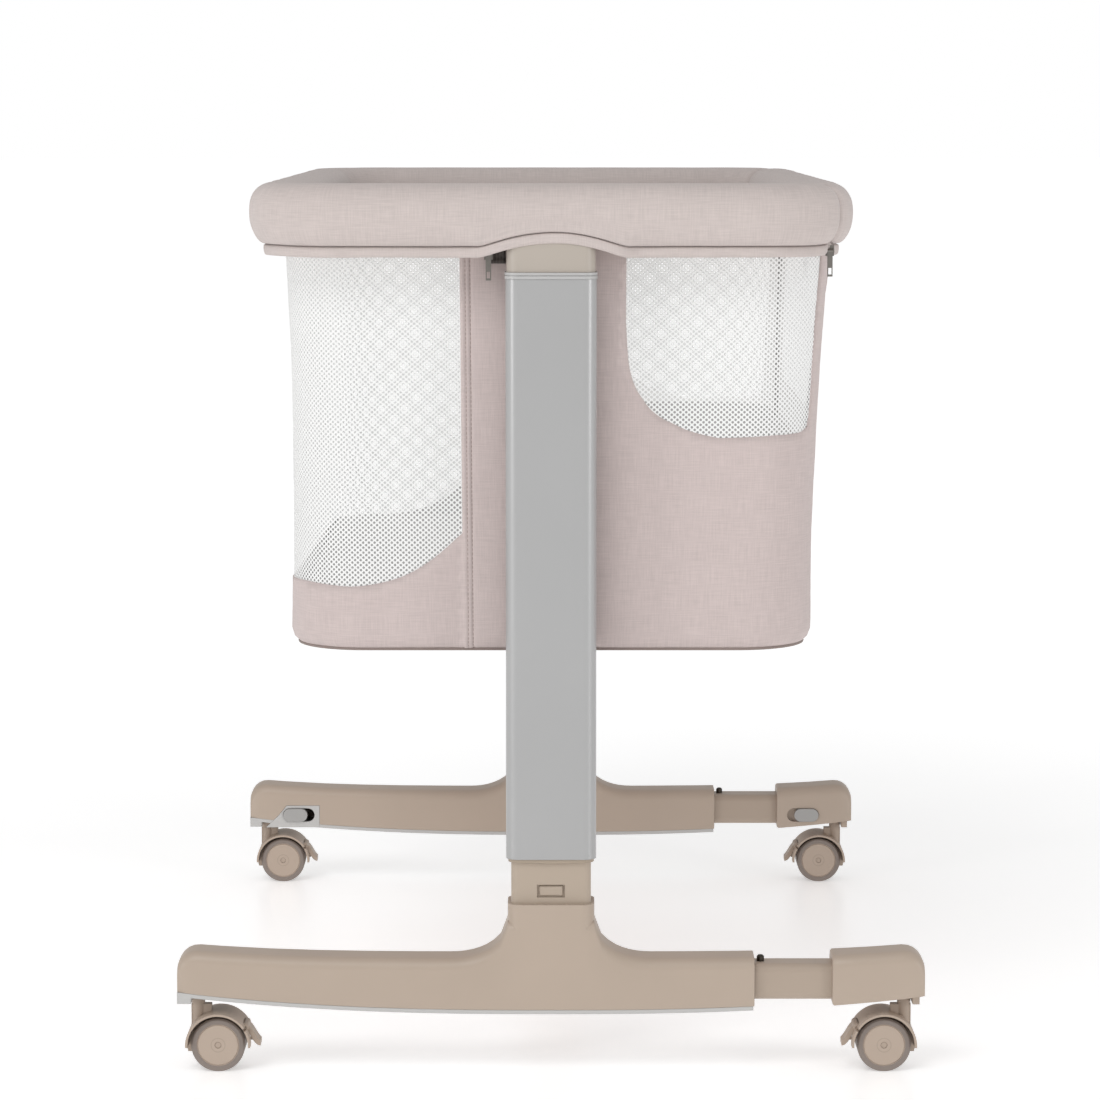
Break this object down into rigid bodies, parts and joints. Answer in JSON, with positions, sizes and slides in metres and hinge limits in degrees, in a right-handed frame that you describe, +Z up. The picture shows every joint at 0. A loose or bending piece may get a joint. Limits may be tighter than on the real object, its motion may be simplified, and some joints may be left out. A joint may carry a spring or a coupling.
{
  "type": "bassinet on stand",
  "caption": "Bedside bassinet with padded rim, mesh windows and drop side on two telescoping posts, with bowed feet, slide-out extensions and braked twin-wheel castors.",
  "frame": {"origin": "on the floor under the middle of the crib's bounding box", "axes": "+Z up, +Y along the crib from the near post to the far post, +X across it towards the drop side and the slide-out leg ends"},
  "size_m": [0.6989, 0.956, 0.829],
  "materials": {
    "foot_plastic": "warm beige moulded, fine satin grain",
    "castor_plastic": "warm beige moulded nylon, satin",
    "grey_plastic": "neutral light grey moulded, satin",
    "painted_tube": "beige powder coat, satin",
    "sleeve_metal": "silver grey powder coat, satin",
    "steel": "zinc plated",
    "dark_steel": "dark plated, slightly polished",
    "castor_tread": "taupe soft tread with beige hub discs",
    "linen": "heathered pinkish beige linen-look polyester",
    "mesh": "white open warp-knit mesh",
    "board": "plain fibreboard",
    "mattress_cloth": "off-white knitted cover",
    "zip_metal": "plated zinc casting"
  },
  "bodies": {
    "near_foot": {"near_foot_shell": "foot_plastic", "near_foot_strip": "grey_plastic", "near_foot_core": "steel", "near_column": "painted_tube"},
    "far_foot": {"far_foot_shell": "foot_plastic", "far_foot_strip": "grey_plastic", "far_foot_core": "steel", "far_column": "painted_tube"},
    "cradle": {"near_sleeve": "sleeve_metal", "near_sleeve_trim": "grey_plastic", "near_post_cap": "foot_plastic", "near_sleeve_guide": "foot_plastic", "far_sleeve": "sleeve_metal", "far_sleeve_trim": "grey_plastic", "far_post_cap": "foot_plastic", "far_sleeve_guide": "foot_plastic", "basket_cover": "linen", "mesh_windows": "mesh", "rim_frame": "steel", "rim_padding": "linen", "base_board": "board", "mattress": "mattress_cloth", "lower_frame": "steel", "rim_brackets": "steel", "zip_sliders": "zip_metal"},
    "drop_side": {"drop_panel": "linen", "drop_mesh": "mesh", "drop_rail": "steel", "drop_rail_padding": "linen"},
    "band_zip": {"band_zip_pull": "zip_metal"},
    "corner_zip": {"corner_zip_pull": "zip_metal"},
    "near_extension": {"near_extension_tube": "painted_tube", "near_extension_end": "foot_plastic"},
    "near_snap": {"near_snap_button": "dark_steel"},
    "near_fixed_release": {"near_fixed_slider": "grey_plastic"},
    "near_moving_release": {"near_moving_slider": "grey_plastic"},
    "near_catch": {"near_height_catch": "foot_plastic"},
    "near_left_castor": {"near_left_castor_hood": "castor_plastic", "near_left_castor_pins": "steel"},
    "near_left_castor_wheel_pair": {"near_left_castor_wheels": "castor_tread"},
    "near_left_castor_lever": {"near_left_castor_brake": "castor_plastic"},
    "near_right_castor": {"near_right_castor_hood": "castor_plastic", "near_right_castor_pins": "steel"},
    "near_right_castor_wheel_pair": {"near_right_castor_wheels": "castor_tread"},
    "near_right_castor_lever": {"near_right_castor_brake": "castor_plastic"},
    "far_extension": {"far_extension_tube": "painted_tube", "far_extension_end": "foot_plastic"},
    "far_snap": {"far_snap_button": "dark_steel"},
    "far_fixed_release": {"far_fixed_slider": "grey_plastic"},
    "far_moving_release": {"far_moving_slider": "grey_plastic"},
    "far_catch": {"far_height_catch": "foot_plastic"},
    "far_left_castor": {"far_left_castor_hood": "castor_plastic", "far_left_castor_pins": "steel"},
    "far_left_castor_wheel_pair": {"far_left_castor_wheels": "castor_tread"},
    "far_left_castor_lever": {"far_left_castor_brake": "castor_plastic"},
    "far_right_castor": {"far_right_castor_hood": "castor_plastic", "far_right_castor_pins": "steel"},
    "far_right_castor_wheel_pair": {"far_right_castor_wheels": "castor_tread"},
    "far_right_castor_lever": {"far_right_castor_brake": "castor_plastic"}
  },
  "joints": [
    {"name": "height", "type": "slide", "parent": "near_foot", "child": "cradle", "axis": [0, 0, 1], "range_m": [-0.038, 0.114], "deforming": ["near_height_catch", "far_height_catch"]},
    {"name": "far_foot_slide", "type": "slide", "parent": "cradle", "child": "far_foot", "axis": [0, 0, -1], "range_m": [-0.038, 0.114]},
    {"name": "near_leg_slide", "type": "slide", "parent": "near_foot", "child": "near_extension", "axis": [1, 0, 0], "range_m": [-0.072, 0], "deforming": ["near_snap_button"]},
    {"name": "near_snap_press", "type": "slide", "parent": "near_extension", "child": "near_snap", "axis": [0, 0, 1], "range_m": [-0.006, 0], "stiffness_N_per_m": 900, "springref_m": 0.002},
    {"name": "near_fixed_release_slide", "type": "slide", "parent": "near_foot", "child": "near_fixed_release", "axis": [1, 0, 0], "range_m": [0, 0.008], "stiffness_N_per_m": 400, "springref_m": -0.003},
    {"name": "near_moving_release_slide", "type": "slide", "parent": "near_extension", "child": "near_moving_release", "axis": [-1, 0, 0], "range_m": [0, 0.008], "stiffness_N_per_m": 400, "springref_m": -0.003},
    {"name": "near_catch_pull", "type": "slide", "parent": "cradle", "child": "near_catch", "axis": [0, 1, 0], "range_m": [0, 0.008], "stiffness_N_per_m": 500, "springref_m": -0.004},
    {"name": "near_left_castor_swivel", "type": "hinge", "parent": "near_foot", "child": "near_left_castor", "pos_m": [-0.331, -0.4525, 0.06], "axis": [0, 0, 1], "continuous": true},
    {"name": "near_left_castor_spin", "type": "hinge", "parent": "near_left_castor", "child": "near_left_castor_wheel_pair", "pos_m": [-0.312, -0.4525, 0.0252], "axis": [0, 1, 0], "continuous": true},
    {"name": "near_left_castor_brake_press", "type": "hinge", "parent": "near_left_castor", "child": "near_left_castor_lever", "pos_m": [-0.2869, -0.4525, 0.04089], "axis": [0, 1, 0], "range_deg": [0, 16]},
    {"name": "near_right_castor_swivel", "type": "hinge", "parent": "near_extension", "child": "near_right_castor", "pos_m": [0.331, -0.4525, 0.06], "axis": [0, 0, 1], "continuous": true},
    {"name": "near_right_castor_spin", "type": "hinge", "parent": "near_right_castor", "child": "near_right_castor_wheel_pair", "pos_m": [0.312, -0.4525, 0.0252], "axis": [0, 1, 0], "continuous": true},
    {"name": "near_right_castor_brake_press", "type": "hinge", "parent": "near_right_castor", "child": "near_right_castor_lever", "pos_m": [0.2869, -0.4525, 0.04089], "axis": [0, -1, 0], "range_deg": [0, 16]},
    {"name": "far_leg_slide", "type": "slide", "parent": "far_foot", "child": "far_extension", "axis": [1, 0, 0], "range_m": [-0.072, 0], "deforming": ["far_snap_button"]},
    {"name": "far_snap_press", "type": "slide", "parent": "far_extension", "child": "far_snap", "axis": [0, 0, 1], "range_m": [-0.006, 0], "stiffness_N_per_m": 900, "springref_m": 0.002},
    {"name": "far_fixed_release_slide", "type": "slide", "parent": "far_foot", "child": "far_fixed_release", "axis": [1, 0, 0], "range_m": [0, 0.008], "stiffness_N_per_m": 400, "springref_m": -0.003},
    {"name": "far_moving_release_slide", "type": "slide", "parent": "far_extension", "child": "far_moving_release", "axis": [-1, 0, 0], "range_m": [0, 0.008], "stiffness_N_per_m": 400, "springref_m": -0.003},
    {"name": "far_catch_pull", "type": "slide", "parent": "cradle", "child": "far_catch", "axis": [0, -1, 0], "range_m": [0, 0.008], "stiffness_N_per_m": 500, "springref_m": -0.004},
    {"name": "far_left_castor_swivel", "type": "hinge", "parent": "far_foot", "child": "far_left_castor", "pos_m": [-0.331, 0.4525, 0.06], "axis": [0, 0, 1], "continuous": true},
    {"name": "far_left_castor_spin", "type": "hinge", "parent": "far_left_castor", "child": "far_left_castor_wheel_pair", "pos_m": [-0.312, 0.4525, 0.0252], "axis": [0, 1, 0], "continuous": true},
    {"name": "far_left_castor_brake_press", "type": "hinge", "parent": "far_left_castor", "child": "far_left_castor_lever", "pos_m": [-0.2869, 0.4525, 0.04089], "axis": [0, 1, 0], "range_deg": [0, 16]},
    {"name": "far_right_castor_swivel", "type": "hinge", "parent": "far_extension", "child": "far_right_castor", "pos_m": [0.331, 0.4525, 0.06], "axis": [0, 0, 1], "continuous": true},
    {"name": "far_right_castor_spin", "type": "hinge", "parent": "far_right_castor", "child": "far_right_castor_wheel_pair", "pos_m": [0.312, 0.4525, 0.0252], "axis": [0, 1, 0], "continuous": true},
    {"name": "far_right_castor_brake_press", "type": "hinge", "parent": "far_right_castor", "child": "far_right_castor_lever", "pos_m": [0.2869, 0.4525, 0.04089], "axis": [0, -1, 0], "range_deg": [0, 16]},
    {"name": "drop_side_fold", "type": "hinge", "parent": "cradle", "child": "drop_side", "pos_m": [0.2532, 0, 0.5615], "axis": [0, 1, 0], "range_deg": [0, 170]},
    {"name": "band_zip_swing", "type": "hinge", "parent": "cradle", "child": "band_zip", "pos_m": [0, -0.4325, 0.763], "axis": [1, 0, 0], "range_deg": [-60, 0]},
    {"name": "corner_zip_swing", "type": "hinge", "parent": "cradle", "child": "corner_zip", "pos_m": [0, -0.4183, 0.766], "axis": [1, 0, 0], "range_deg": [-60, 0]}
  ],
  "couplings": [
    {"joint": "far_foot_slide", "follows": "height", "ratio": 1}
  ]
}
